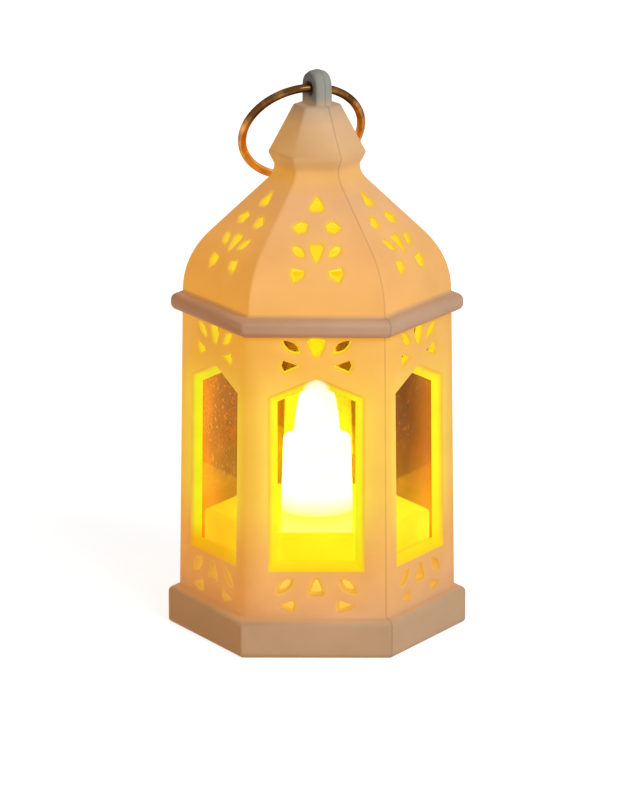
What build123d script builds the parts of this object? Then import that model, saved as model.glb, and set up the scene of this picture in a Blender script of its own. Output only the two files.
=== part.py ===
from build123d import *
import math
import os

os.makedirs("parts", exist_ok=True)

# Walls and skirt: six-sided, sizes over the corners, heights above the table
body_foot_corners = 60.0
wall_taper = 0.9
body_top_corners = body_foot_corners - 2 * wall_taper
eave_bottom = 70.2
wall = 1.7
skirt_step = 2.5
base_corners = body_foot_corners + 2 * skirt_step
skirt_height = 8.4
skirt_wall = 2.0
skirt_foot_round = 1.0
skirt_top_round = 1.3
skirt_inner_round = 0.75

# Eave bead and onion roof: shoulder arc, straight flank, hollow neck, flared cap
eave_step = 2.5
eave_corners = body_top_corners + 2 * eave_step
eave_thickness = 4.0
eave_round = 1.6
dome_step = 0.1
dome_corners = body_top_corners - 2 * dome_step
dome_rise = 0.7
dome_foot_round = 0.6
shoulder_radius = 19.0
flank_angle = 43.0
neck_corners = 18.4
neck_radius = 4.5
neck_rise = 0.1
lip_step = 1.2
lip_corners = neck_corners + 2 * lip_step
lip_rise = 2.8
lip_edge = 0.5
cap_top_corners = 9.9
cap_height = 10.3
cap_round = 0.6
cap_solid = 4.5
spigot_depth = 2.5
spigot_wall = 1.2
spigot_gap = 0.1
spigot_clear = 1.3

# Lug on the cap and the wire ring through it
lug_radius = 3.55
lug_height = 7.4
lug_thickness = 3.9
lug_hole_rise = 3.4
lug_turn = 30.0
ring_radius = 13.15
ring_wire = 1.8
ring_play = 0.75
lug_hole_radius = ring_wire / 2 + ring_play
ring_turn = 19.0
ring_tip = 5.5
ring_rest_gap = 0.25
ring_joint_angle = 1.2
ring_sides = 8

# Windows and panes
window_width = 20.6
window_rise = 10.3
window_sill = skirt_height + window_rise
window_drop = 8.8
window_point = eave_bottom - window_drop
window_gable = 4.3
window_shoulder = window_point - window_gable
splay = 2.0
cut_past = 0.5
pane_thickness = 0.5
pane_clear = 0.3

# Works in the base: plates, pedestal and their screws
rim_recess = 1.5
plate_thickness = 1.8
fit_gap = 0.2
pedestal_gap = 3.1
pedestal_draft = 0.1
pedestal_wall = 1.6
pedestal_round = 1.2
screw_radius = 0.9
screw_bite = 3.2
screw_play = 0.05
screw_clearance = 0.3
screw_head_radius = 1.8
screw_head_height = 1.2
screw_sides = 12
boss_bond = 0.2
boss_height = 3.9

# Three button cells, their cradle and contacts, and the door under them
cell_radius = 5.8
cell_length = 5.4
cell_pole_step = 1.0
cell_pole_height = 0.4
cell_row = 5.0
cell_lift = 0.7
bay_gap = 0.3
cradle_wall = 1.2
cradle_height = 6.7
contact_thickness = 0.3
contact_width = 9.6
contact_rise = 1.7
tail_width = 1.6
tail_offset = 4.0
clip_reach = 2.0
clip_width = 6.0
door_thickness = 1.0
door_lap = 2.5
door_gap = 0.15
door_pad_length = 12.0
door_pad_width = 3.0
door_pad = 0.5
small_screw_radius = 0.75
small_head_radius = 1.7
small_head_height = 1.1
small_boss_wall = 1.1

# Board, lamp and candle
board_gap = 1.7
board_thickness = 1.2
board_margin = 2.5
post_radius = 2.2
resistor_length = 3.2
resistor_width = 1.6
resistor_height = 0.6
lamp_gap = 6.7
lamp_radius = 2.5
lamp_rim = 0.4
lamp_height = 7.8
lamp_play = 0.05
holder_flange = 0.9
holder_thickness = 1.0
holder_plug = 1.4
lead_size = 0.5
lead_pitch = 2.54
lead_tail = 0.8
candle_foot_radius = 7.8
candle_shoulder_radius = 7.3
candle_body = 16.4
candle_round = 1.1
candle_wall = 1.3
candle_flange = 1.8
candle_flange_thickness = 1.2
flame_radius = 5.1
flame_tip_radius = 3.3
flame_height = 12.2
flame_round = 2.2
turned_sides = 24

# Slide switch
switch_travel = 2.0
switch_length = 9.0
switch_width = 4.4
switch_height = 4.0
switch_gap = 0.5
slider_length = 4.4
slider_width = 2.1
slider_height = 1.7
slider_play = 0.3
knob_length = 2.6
knob_width = 1.2
knob_play = 0.2
knob_clear = 0.6

half_turn = math.cos(math.radians(30))
UP = Vector(0, 0, 1)
UPRIGHT = (Align.CENTER, Align.CENTER, Align.MIN)
HANGING = (Align.CENTER, Align.CENTER, Align.MAX)
ON_LINE = (Align.CENTER, Align.MIN)
face_turns = (0, 60, 120, 180, 240, 300)
face_names = ("front", "front_right", "back_right", "back", "back_left", "front_left")
screw_turns = (0, 120, 240)


def flat(corners):
    """Distance from the axis to a flat of a hexagon of this size over its corners."""
    return corners / 2 * half_turn


def outward(turn):
    """Level direction out of the face at this turn from the front."""
    angle = math.radians(turn)
    return Vector(math.sin(angle), -math.cos(angle), 0)


def hexagonal(corner_points, corner_radii):
    """Solid whose six flats follow one outline of (distance from the axis, height)."""
    with BuildPart() as solid:
        for turn in (0, 60, 120):
            side = outward(turn)
            with BuildSketch(Plane((0, 0, 0), x_dir=side, z_dir=side.cross(UP))):
                with BuildLine():
                    FilletPolyline(*corner_points, radius=corner_radii)
                    Line(corner_points[-1], corner_points[0])
                make_face()
                mirror(about=Plane.YZ)
            step = Mode.ADD if turn == 0 else Mode.INTERSECT
            extrude(amount=base_corners, both=True, mode=step)
    return solid.part


def many_sided(outline, sides):
    """Turned piece drawn with flat sides, from points of (radius, height) going up."""
    with BuildPart() as solid:
        for (low_radius, low), (high_radius, high) in zip(outline, outline[1:]):
            if high > low:
                with BuildSketch(Plane.XY.offset(low)):
                    RegularPolygon(low_radius, sides)
                narrowing = (low_radius - high_radius) * math.cos(math.pi / sides)
                extrude(amount=high - low, taper=math.degrees(math.atan2(narrowing, high - low)))
    return solid.part


def leaf(start, end, width):
    """Corners of an eight-sided leaf between two tips."""
    first = Vector(*start)
    along = Vector(*end) - first
    across = along.normalized().rotate(Axis.Z, 90) * (width / 2)
    there = [(0.0, 0.0), (0.2, 0.65), (0.5, 1.0), (0.8, 0.65)]
    back = [(1 - way, -swell) for way, swell in there]
    return [first + along * way + across * swell for way, swell in there + back]


def petals(shapes, height):
    """Draws a list of petals from a height, each mirrored to the other half of the face."""
    for shape in shapes:
        for hand in (1, -1):
            points = [(hand * x, height + y) for x, y in shape["points"]]
            if "leaf" in shape:
                points = leaf(points[0], points[1], shape["leaf"])
            with BuildLine() as outline:
                Polyline(*points, close=True)
            make_face(outline.edges())


# Slope of the walls, and the plates under the works
foot_flat = flat(body_foot_corners)
top_flat = flat(body_top_corners)
lean_in = math.atan2(foot_flat - top_flat, eave_bottom - skirt_height)
skirt_flat = flat(base_corners)
skirt_inside = skirt_flat - skirt_wall
flange_flat = skirt_inside - fit_gap
cover_bottom = rim_recess
cover_top = cover_bottom + plate_thickness
ledge = cover_top + plate_thickness


def wall_plane(turn, depth=0.0):
    """Plane on the outside of a wall, sunk by a depth; its y runs up the wall."""
    side = outward(turn)
    normal = side * math.cos(lean_in) + UP * math.sin(lean_in)
    start = side * (foot_flat + skirt_height * math.tan(lean_in))
    return Plane(start - normal * depth, x_dir=UP.cross(side), z_dir=normal)


def inner_flat(height):
    """Inside of the walls at a height."""
    return foot_flat - (height - skirt_height) * math.tan(lean_in) - wall / math.cos(lean_in)


def window_outline(inset):
    """Pointed window, drawn smaller all round by the inset."""
    half = window_width / 2 - inset
    slope = math.atan2(window_point - window_shoulder, window_width / 2)
    point = window_point - inset / math.cos(slope)
    shoulder = point - half * math.tan(slope)
    sill = window_sill + inset
    corners = [(-half, sill), (half, sill), (half, shoulder), (0, point), (-half, shoulder)]
    with BuildLine() as outline:
        Polyline(*corners, close=True)
    make_face(outline.edges())


# The pedestal stands clear of the walls, with the screw posts between them
pedestal_corners = 2 * (inner_flat(ledge) - pedestal_gap) / half_turn
pedestal_flat = flat(pedestal_corners)
pedestal_foot = pedestal_flat + pedestal_draft
boss_outer = inner_flat(ledge) + boss_bond
boss_radius = (boss_outer - pedestal_foot - fit_gap) / 2
screw_circle = boss_outer - boss_radius

# Body shell: skirt, tapered walls with windows and petals, ledge and screw posts inside
top_round = min(skirt_top_round, 0.6 * (skirt_flat - foot_flat))
inner_round = min(skirt_inner_round, 0.35 * (skirt_flat - foot_flat))
body_outside = hexagonal(
    [
        (0, 0),
        (skirt_flat, 0),
        (skirt_flat, skirt_height),
        (foot_flat, skirt_height),
        (top_flat, eave_bottom),
        (0, eave_bottom),
    ],
    [skirt_foot_round, top_round, inner_round, 0],
)
body_inside = hexagonal(
    [
        (0, -cut_past),
        (skirt_inside, -cut_past),
        (skirt_inside, ledge),
        (inner_flat(ledge), ledge),
        (inner_flat(eave_bottom + cut_past), eave_bottom + cut_past),
        (0, eave_bottom + cut_past),
    ],
    [0, 0, 0, 0],
)
# Petals under the eave, heights from it: fan, leaf, kite
upper_petals = [
    {"points": [(0, -4.4), (0.7, -4.4), (1.5, -2.8), (2.1, -0.9), (1.4, -0.4), (0, -0.4)]},
    {"points": [(3.3, -3.8), (7.5, -0.8)], "leaf": 2.2},
    {"points": [(3.3, -6.45), (7.2, -5.1), (7.7, -6.6), (7.0, -8.1)]},
]
# Petals over the skirt, heights from it: drop, leaf, kite
lower_petals = [
    {"points": [(0, 4.9), (1.4, 4.9), (1.85, 5.4), (1.2, 7.2), (0.4, 9.0), (0, 9.0)]},
    {"points": [(4.8, 8.7), (8.7, 5.5)], "leaf": 2.2},
    {"points": [(4.8, 4.0), (8.7, 2.55), (4.8, 1.2), (4.4, 2.6)]},
]
with BuildPart() as body_shell:
    add(body_outside)
    add(body_inside, mode=Mode.SUBTRACT)
    for turn in screw_turns:
        with Locations(Plane(outward(turn) * screw_circle + UP * ledge)):
            Cylinder(boss_radius, boss_height, align=UPRIGHT)
    for turn in screw_turns:
        with Locations(Plane(outward(turn) * screw_circle + UP * ledge)):
            Cylinder(screw_radius + screw_play, boss_height - fit_gap, align=UPRIGHT, mode=Mode.SUBTRACT)
    for turn in face_turns:
        with BuildSketch(wall_plane(turn)):
            petals(upper_petals, eave_bottom)
            petals(lower_petals, skirt_height)
        extrude(amount=wall + cut_past, both=True, mode=Mode.SUBTRACT)
        with BuildSketch(wall_plane(turn, -cut_past)):
            window_outline(-cut_past * splay / wall)
        with BuildSketch(wall_plane(turn, wall + cut_past)):
            window_outline(splay + cut_past * splay / wall)
        loft(mode=Mode.SUBTRACT)
body_shell.part.label = "body_shell"
export_step(body_shell.part, "parts/body_shell.step")

# Roof shell: eave bead, onion dome with petals, neck, cap and lug
eave_flat = flat(eave_corners)
eave_top = eave_bottom + eave_thickness
dome_flat = flat(dome_corners)
bead_step = eave_flat - dome_flat
bead_round = min(eave_round, 0.7 * bead_step)
foot_round = min(dome_foot_round, 0.25 * bead_step)
neck_flat = flat(neck_corners)
half_flank = math.tan(math.radians(flank_angle / 2))
dome_break = eave_top + dome_rise + shoulder_radius * half_flank
neck_break = dome_break + (dome_flat - neck_flat) / math.tan(math.radians(flank_angle))
neck_top = neck_break + neck_radius * half_flank + neck_rise
lip_height = neck_top + lip_rise
cap_top = lip_height + cap_height
lug_top = cap_top + lug_height
roof_outside = hexagonal(
    [
        (0, eave_bottom),
        (eave_flat, eave_bottom),
        (eave_flat, eave_top),
        (dome_flat, eave_top),
        (dome_flat, dome_break),
        (neck_flat, neck_break),
        (neck_flat, neck_top),
        (flat(lip_corners), lip_height - lip_edge),
        (flat(lip_corners), lip_height),
        (flat(cap_top_corners), cap_top),
        (0, cap_top),
    ],
    [eave_round, bead_round, foot_round, shoulder_radius, neck_radius, 0, 0, lip_edge / 2, cap_round],
)
sink = wall * half_flank
roof_inside = hexagonal(
    [
        (0, eave_bottom - cut_past),
        (dome_flat - wall, eave_bottom - cut_past),
        (dome_flat - wall, dome_break - sink),
        (neck_flat - wall, neck_break - sink),
        (neck_flat - wall, neck_top),
        (flat(cap_top_corners) - wall, cap_top - cap_solid),
        (0, cap_top - cap_solid),
    ],
    [0, shoulder_radius - wall, neck_radius + wall, 0, 0],
)
# The spigot under the roof centres it in the walls
spigot_flat = inner_flat(eave_bottom) - spigot_gap
spigot_bottom = eave_bottom - spigot_depth
spigot = hexagonal(
    [
        (0, spigot_bottom),
        (spigot_flat, spigot_bottom),
        (spigot_flat, eave_bottom),
        (top_flat, eave_bottom),
        (dome_flat - wall / 2, eave_top),
        (0, eave_top),
    ],
    [0, 0, 0, 0],
)
spigot_hollow = hexagonal(
    [
        (0, spigot_bottom - cut_past),
        (spigot_flat - spigot_wall, spigot_bottom - cut_past),
        (spigot_flat - spigot_wall, eave_top + cut_past),
        (0, eave_top + cut_past),
    ],
    [0, 0],
)
spigot_notch = spigot_clear + max(x for shape in upper_petals for x, y in shape["points"])
# Petals of the roof, heights from the neck: drop, oval, inverted drop, leaf, kite
roof_petals = [
    {"points": [(0, -3.0), (0.45, -3.6), (1.7, -5.5), (1.1, -6.2), (0, -6.2)]},
    {"points": [(1.75, -8.3), (3.4, -7.7), (5.35, -9.0), (3.9, -10.2), (2.3, -9.8)]},
    {"points": [(0, -11.6), (1.1, -11.6), (1.6, -12.3), (0.45, -15.0), (0, -15.5)]},
    {"points": [(2.5, -14.3), (5.3, -12.1)], "leaf": 1.9},
    {"points": [(2.45, -16.7), (5.3, -16.0), (5.7, -17.7), (4.8, -19.5), (2.8, -18.2)]},
]
lug_hole = UP * (cap_top + lug_hole_rise)
lug_axis = Plane(lug_hole, x_dir=UP, z_dir=Vector(-1, 0, 0).rotate(Axis.Z, lug_turn))
# Lug: round post whose domed top is drawn in steps
lug_steps = [math.radians(angle) for angle in (0, 20, 40, 60, 80)]
lug_dome = [(lug_radius * math.cos(a), lug_top - lug_radius * (1 - math.sin(a))) for a in lug_steps]
lug_post = many_sided([(lug_radius, cap_top - cap_solid / 4)] + lug_dome, turned_sides)
with BuildPart() as roof_shell:
    add(roof_outside)
    add(roof_inside, mode=Mode.SUBTRACT)
    add(spigot)
    add(spigot_hollow, mode=Mode.SUBTRACT)
    for turn in face_turns:
        # The spigot stays at the corners only, clear of the petals in the walls
        with BuildSketch(Plane(UP * (spigot_bottom - cut_past), x_dir=outward(turn), z_dir=UP)):
            with Locations((base_corners / 4, 0)):
                Rectangle(base_corners / 2, 2 * spigot_notch)
        extrude(amount=spigot_depth + cut_past, mode=Mode.SUBTRACT)
        with BuildSketch(Plane((0, 0, 0), x_dir=outward(turn + 90), z_dir=outward(turn))):
            petals(roof_petals, neck_break)
        extrude(amount=base_corners / 2, mode=Mode.SUBTRACT)
    # The lug has two flats and is bored for the ring
    add(lug_post)
    for hand in (1, -1):
        with BuildSketch(lug_axis.offset(hand * lug_thickness / 2)):
            with Locations((lug_height - lug_hole_rise, 0)):
                Rectangle(2 * lug_height, 4 * lug_radius)
        extrude(amount=hand * lug_radius, mode=Mode.SUBTRACT)
    with BuildSketch(lug_axis):
        Circle(lug_hole_radius)
    extrude(amount=lug_thickness, both=True, mode=Mode.SUBTRACT)
roof_shell.part.label = "roof_shell"
export_step(roof_shell.part, "parts/roof_shell.step")

# Panes: flat sheets glued behind the windows and the petals above them, between the spigots
pane_shoulder = spigot_bottom - pane_clear - window_sill
pane_height = eave_bottom - pane_clear - window_sill
for turn, name in zip(face_turns, face_names):
    with BuildPart() as window_pane:
        with BuildSketch(wall_plane(turn, wall)):
            with Locations((0, window_sill)):
                Rectangle(window_width, pane_shoulder, align=ON_LINE)
                Rectangle(2 * (spigot_notch - pane_clear), pane_height, align=ON_LINE)
        extrude(amount=-pane_thickness)
    window_pane.part.label = "window_pane_" + name
    export_step(window_pane.part, "parts/window_pane_" + name + ".step")

# Ring: it hangs in the lug, turned and tipped, and lies over the back of the roof
ring_along = Vector(-1, 0, 0).rotate(Axis.Z, ring_turn) * math.cos(math.radians(ring_tip))
ring_along = ring_along + UP * math.sin(math.radians(ring_tip))
ring_back = Vector(0, 1, 0).rotate(Axis.Z, ring_turn)
ring_up = ring_back.cross(ring_along).normalized()


def ring_drop(lean):
    """Direction from the lug to the ring's centre at a lean from upright."""
    return ring_up * math.cos(math.radians(lean)) + ring_back * math.sin(math.radians(lean))


def roof_gap(lean):
    """Least distance from the ring's wire to the six flanks of the roof at a lean."""
    slope = math.radians(flank_angle)
    flanks = [outward(turn) * math.cos(slope) + UP * math.sin(slope) for turn in face_turns]
    reach = neck_flat * math.cos(slope) + neck_break * math.sin(slope)
    gaps = []
    for angle in range(0, 360, 3):
        along = ring_along * math.sin(math.radians(angle))
        down = ring_drop(lean) * (1 + math.cos(math.radians(angle)))
        point = lug_hole + (along + down) * ring_radius
        if point.Z < neck_break:
            gaps.append(max(point.dot(flank) for flank in flanks) - reach)
    return min(gaps) - ring_wire / 2


# The ring falls back from hanging until it lies just off the roof
ring_lean = 180.0
while roof_gap(ring_lean) < ring_rest_gap:
    ring_lean -= 0.2
ring_centre = lug_hole + ring_drop(ring_lean) * ring_radius
ring_axis = Axis(ring_centre, ring_along.cross(ring_drop(ring_lean)))
with BuildPart() as hanging_ring:
    # The wire is drawn eight-sided, with its joint at the far side from the lug
    with BuildSketch(Plane(ring_centre, x_dir=ring_drop(ring_lean), z_dir=ring_along)):
        with Locations((ring_radius, 0)):
            RegularPolygon(ring_wire / 2, ring_sides)
    revolve(axis=ring_axis, revolution_arc=360 - ring_joint_angle)
hanging_ring.part.label = "hanging_ring"
export_step(hanging_ring.part, "parts/hanging_ring.step")

# Plan of the works: heights from the cells up, places from the cradle to the front
bay_half = 1.5 * cell_length + contact_thickness + fit_gap / 4
bay_depth = cell_radius + bay_gap
cradle_top = cover_top + cradle_height
cell_height = cover_bottom + door_thickness + cell_lift + cell_radius
board_height = cell_height + cell_radius + board_gap
candle_seat = board_height + board_thickness + lamp_gap
pedestal_top = candle_seat + pedestal_wall
candle_shoulder = pedestal_top + candle_body
candle_tip = candle_shoulder + flame_height
small_boss = small_screw_radius + small_boss_wall
door_screw_row = cell_row - bay_depth - cradle_wall + boss_bond - small_boss
switch_row = door_screw_row - small_boss - switch_gap - switch_width / 2
post_spread = candle_foot_radius + candle_flange + bay_gap + post_radius
tail_row = cell_row - tail_offset

# Pedestal housing: six-sided box under the candle with a flange under the shell's ledge
pedestal_outside = hexagonal(
    [
        (0, cover_top),
        (flange_flat, cover_top),
        (flange_flat, ledge),
        (pedestal_foot, ledge),
        (pedestal_flat, pedestal_top),
        (0, pedestal_top),
    ],
    [0, 0, 0, pedestal_round],
)
pedestal_inside = hexagonal(
    [
        (0, cover_top - cut_past),
        (pedestal_flat - pedestal_wall, cover_top - cut_past),
        (pedestal_flat - pedestal_wall, candle_seat),
        (0, candle_seat),
    ],
    [0, 0],
)
with BuildPart() as pedestal_housing:
    add(pedestal_outside)
    add(pedestal_inside, mode=Mode.SUBTRACT)
    with Locations((0, 0, candle_seat)):
        Cylinder(candle_foot_radius + fit_gap, 4 * pedestal_wall, mode=Mode.SUBTRACT)
    with BuildSketch(Plane.XY.offset(candle_seat)):
        with Locations((post_spread, 0), (-post_spread, 0)):
            RegularPolygon(post_radius, screw_sides)
    extrude(amount=-lamp_gap)
    with Locations((post_spread, 0, candle_seat), (-post_spread, 0, candle_seat)):
        Cylinder(small_screw_radius + screw_play, lamp_gap, align=HANGING, mode=Mode.SUBTRACT)
    for turn in screw_turns:
        with Locations(Plane(outward(turn) * screw_circle + UP * cover_top)):
            Cylinder(screw_radius + screw_clearance, 3 * plate_thickness, mode=Mode.SUBTRACT)
pedestal_housing.part.label = "pedestal_housing"
export_step(pedestal_housing.part, "parts/pedestal_housing.step")

# Bottom cover: plate with the cradle for the cells, the door recess and the switch slot
door_left = -bay_half - door_lap
door_right = bay_half + door_lap
door_back = cell_row + bay_depth + cradle_wall
door_front = door_screw_row - small_boss
door_middle = (door_back + door_front) / 2
slot_length = knob_length + switch_travel + 2 * slider_play
slot_width = knob_width + 2 * knob_play
cover_plate = hexagonal(
    [(0, cover_bottom), (flange_flat, cover_bottom), (flange_flat, cover_top), (0, cover_top)],
    [0, 0],
)
with BuildPart() as bottom_cover:
    add(cover_plate)
    with BuildSketch(Plane.XY.offset(cover_top)):
        with Locations((0, cell_row)):
            Rectangle(2 * (bay_half + cradle_wall), 2 * (bay_depth + cradle_wall))
        with Locations((0, door_screw_row)):
            Rectangle(2 * small_boss, 2 * small_boss)
    extrude(amount=cradle_height)
    with BuildSketch(Plane.XY):
        with Locations((0, cell_row)):
            Rectangle(2 * bay_half, 2 * bay_depth)
        with Locations((0, door_screw_row)):
            Circle(small_screw_radius + screw_play)
        with Locations((0, switch_row)):
            Rectangle(slot_length, slot_width)
        for turn in screw_turns:
            with Locations(outward(turn) * screw_circle):
                Circle(screw_radius + screw_clearance)
    extrude(amount=cradle_top + cut_past, mode=Mode.SUBTRACT)
    with BuildSketch(Plane.XY):
        with Locations((0, door_middle)):
            Rectangle(door_right - door_left, door_back - door_front)
    extrude(amount=cover_bottom + door_thickness, mode=Mode.SUBTRACT)
bottom_cover.part.label = "bottom_cover"
export_step(bottom_cover.part, "parts/bottom_cover.step")

# Battery door: flush plate with a pad under the cells
with BuildPart() as battery_door:
    with BuildSketch(Plane.XY.offset(cover_bottom)):
        with Locations((0, door_middle)):
            Rectangle(door_right - door_left - 2 * door_gap, door_back - door_front - 2 * door_gap)
        with Locations((0, door_screw_row)):
            Circle(small_screw_radius + screw_clearance, mode=Mode.SUBTRACT)
    extrude(amount=door_thickness)
    with BuildSketch(Plane.XY.offset(cover_bottom + door_thickness)):
        with Locations((0, cell_row)):
            Rectangle(door_pad_length, door_pad_width)
    extrude(amount=door_pad)
battery_door.part.label = "battery_door"
export_step(battery_door.part, "parts/battery_door.step")

# Screws: low heads with a slot, on plain shanks, drawn many-sided from the underside of the head
def screw(head, head_height, shank, length):
    """Screw with its head below the table's height and its shank above it."""
    return many_sided([(head, -head_height), (head, 0), (shank, 0), (shank, length)], screw_sides)


door_screw_form = screw(small_head_radius, small_head_height, small_screw_radius, cradle_height)
with BuildPart() as door_screw:
    with Locations((0, door_screw_row, cover_bottom)):
        add(door_screw_form)
    with Locations((0, door_screw_row, cover_bottom - small_head_height)):
        Box(2 * small_head_radius, small_screw_radius, small_head_height, mode=Mode.SUBTRACT)
door_screw.part.label = "door_screw"
export_step(door_screw.part, "parts/door_screw.step")

base_screw_form = screw(screw_head_radius, screw_head_height, screw_radius, ledge - cover_bottom + screw_bite)
with BuildPart() as base_screws:
    for turn in screw_turns:
        seat = outward(turn) * screw_circle + UP * cover_bottom
        with Locations(Plane(seat)):
            add(base_screw_form)
        with Locations(Plane(seat - UP * screw_head_height)):
            Box(2 * screw_head_radius, screw_radius, screw_head_height, mode=Mode.SUBTRACT)
base_screws.part.label = "base_screws"
export_step(base_screws.part, "parts/base_screws.step")

# Candle: hollow stepped shade, its flange trapped under the top of the pedestal
flange_under = candle_seat - candle_flange_thickness
shoulder_round = min(candle_round, 0.7 * (candle_shoulder_radius - flame_radius))
tip_round = min(flame_round, 0.7 * flame_tip_radius)
# The rounds of the shoulder and the tip are drawn in two and three straight steps
candle_outside = many_sided(
    [
        (candle_foot_radius + candle_flange, flange_under),
        (candle_foot_radius + candle_flange, candle_seat),
        (candle_foot_radius, candle_seat),
        (candle_shoulder_radius, candle_shoulder - shoulder_round),
        (candle_shoulder_radius - 0.3 * shoulder_round, candle_shoulder - 0.3 * shoulder_round),
        (candle_shoulder_radius - shoulder_round, candle_shoulder),
        (flame_radius, candle_shoulder),
        (flame_tip_radius, candle_tip - tip_round),
        (flame_tip_radius - 0.13 * tip_round, candle_tip - 0.5 * tip_round),
        (flame_tip_radius - 0.5 * tip_round, candle_tip - 0.13 * tip_round),
        (flame_tip_radius - tip_round, candle_tip),
    ],
    turned_sides,
)
candle_inside = many_sided(
    [
        (candle_foot_radius - candle_wall, flange_under),
        (candle_shoulder_radius - candle_wall, candle_shoulder - candle_wall),
        (flame_radius - candle_wall, candle_shoulder - candle_wall),
        (flame_tip_radius - candle_wall, candle_tip - tip_round),
    ],
    turned_sides,
)
with BuildPart() as candle_diffuser:
    add(candle_outside)
    add(candle_inside, mode=Mode.SUBTRACT)
candle_diffuser.part.label = "candle_diffuser"
export_step(candle_diffuser.part, "parts/candle_diffuser.step")

# Light: lamp in its holder, plugged into the foot of the candle
holder_bottom = flange_under - holder_thickness
holder_top = holder_bottom + holder_thickness
holder_plug_radius = candle_foot_radius - candle_wall - fit_gap
holder_form = many_sided(
    [
        (candle_foot_radius + holder_flange, holder_bottom),
        (candle_foot_radius + holder_flange, holder_top),
        (holder_plug_radius, holder_top),
        (holder_plug_radius, holder_top + holder_plug),
    ],
    turned_sides,
)
with BuildPart() as led_holder:
    add(holder_form)
    with Locations((0, 0, holder_bottom)):
        Cylinder(lamp_radius + lamp_play, 2 * lamp_height, mode=Mode.SUBTRACT)
led_holder.part.label = "led_holder"
export_step(led_holder.part, "parts/led_holder.step")

lamp_foot = holder_bottom - holder_thickness
lamp_shoulder = holder_bottom + lamp_height - lamp_radius
lamp_form = many_sided(
    [
        (lamp_radius + lamp_rim, lamp_foot),
        (lamp_radius + lamp_rim, lamp_foot + holder_thickness),
        (lamp_radius, lamp_foot + holder_thickness),
        (lamp_radius, lamp_shoulder),
        (lamp_radius / 2, lamp_shoulder + lamp_radius),
    ],
    screw_sides,
)
with BuildPart() as led_lamp:
    add(lamp_form)
led_lamp.part.label = "led_lamp"
export_step(led_lamp.part, "parts/led_lamp.step")

lead_foot = board_height - lead_tail
with BuildPart() as led_leads:
    with Locations((lead_pitch / 2, 0, lead_foot), (-lead_pitch / 2, 0, lead_foot)):
        Box(lead_size, lead_size, lamp_foot - lead_foot, align=UPRIGHT)
led_leads.part.label = "led_leads"
export_step(led_leads.part, "parts/led_leads.step")

# Circuit board under the candle, on two posts of the pedestal, its tongue over the switch
board_front = switch_row - board_margin
board_back = tail_row + tail_width
with BuildPart() as circuit_board:
    with BuildSketch(Plane.XY.offset(board_height)):
        Rectangle(2 * (post_spread + board_margin), 2 * board_margin)
        with Locations((0, (board_front + board_back) / 2)):
            Rectangle(2 * bay_half + board_margin, board_back - board_front)
        with Locations((post_spread, 0), (-post_spread, 0)):
            Circle(small_screw_radius + 2 * screw_play, mode=Mode.SUBTRACT)
        with Locations((lead_pitch / 2, 0), (-lead_pitch / 2, 0)):
            Rectangle(lead_size + fit_gap, lead_size + fit_gap, mode=Mode.SUBTRACT)
    extrude(amount=board_thickness)
circuit_board.part.label = "circuit_board"
export_step(circuit_board.part, "parts/circuit_board.step")

with BuildPart() as chip_resistor:
    with Locations((bay_half / 2 + lead_pitch / 2, switch_row / 2, board_height + board_thickness)):
        Box(resistor_length, resistor_width, resistor_height, align=UPRIGHT)
chip_resistor.part.label = "chip_resistor"
export_step(chip_resistor.part, "parts/chip_resistor.step")

board_screw_bite = board_thickness + lamp_gap - 2 * fit_gap
board_screw_form = screw(small_head_radius, small_head_height, small_screw_radius, board_screw_bite)
with BuildPart() as board_screws:
    with Locations((post_spread, 0, board_height), (-post_spread, 0, board_height)):
        add(board_screw_form)
board_screws.part.label = "board_screws"
export_step(board_screws.part, "parts/board_screws.step")

# Three button cells in a row across the lantern, with a contact at each end
for number in (1, 2, 3):
    left = (number - 2.5) * cell_length
    with BuildPart() as cell:
        with BuildSketch(Plane.YZ.offset(left)):
            with Locations((cell_row, cell_height)):
                RegularPolygon(cell_radius - cell_pole_step, turned_sides)
        extrude(amount=cell_pole_height)
        with BuildSketch(Plane.YZ.offset(left + cell_pole_height)):
            with Locations((cell_row, cell_height)):
                RegularPolygon(cell_radius, turned_sides)
        extrude(amount=cell_length - cell_pole_height)
    cell.part.label = "cell_" + str(number)
    export_step(cell.part, "parts/cell_" + str(number) + ".step")

stack_end = 1.5 * cell_length
contact_foot = cover_top + contact_rise
contact_top = cradle_top + contact_thickness
for name, hand in (("positive_contact", 1), ("negative_contact", -1)):
    with BuildPart() as contact:
        with BuildSketch(Plane.YZ.offset(hand * stack_end)):
            with Locations((cell_row, contact_foot)):
                Rectangle(contact_width, contact_top - contact_foot, align=ON_LINE)
            with Locations((tail_row, contact_foot)):
                Rectangle(tail_width, board_height - contact_foot, align=ON_LINE)
        extrude(amount=hand * contact_thickness)
        # Clip over the end wall of the cradle
        with Locations((hand * (stack_end + clip_reach / 2), cell_row, cradle_top)):
            Box(clip_reach, clip_width, contact_thickness, align=UPRIGHT)
    contact.part.label = name
    export_step(contact.part, "parts/" + name + ".step")

# Slide switch on the cover, its slider reached through the slot from below
pocket_length = slider_length + switch_travel + 2 * slider_play
pocket_height = slider_height + 2 * knob_play
with BuildPart() as switch_body:
    with Locations((0, switch_row, cover_top)):
        Box(switch_length, switch_width, switch_height, align=UPRIGHT)
        Box(pocket_length, slider_width + slider_play, pocket_height, align=UPRIGHT, mode=Mode.SUBTRACT)
switch_body.part.label = "switch_body"
export_step(switch_body.part, "parts/switch_body.step")

with BuildPart() as switch_slider:
    with Locations((switch_travel / 2, switch_row, cover_top + knob_play)):
        Box(slider_length, slider_width, slider_height, align=UPRIGHT)
    with Locations((switch_travel / 2, switch_row, knob_clear)):
        Box(knob_length, knob_width, cover_top + knob_play - knob_clear, align=UPRIGHT)
switch_slider.part.label = "switch_slider"
export_step(switch_slider.part, "parts/switch_slider.step")

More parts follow.
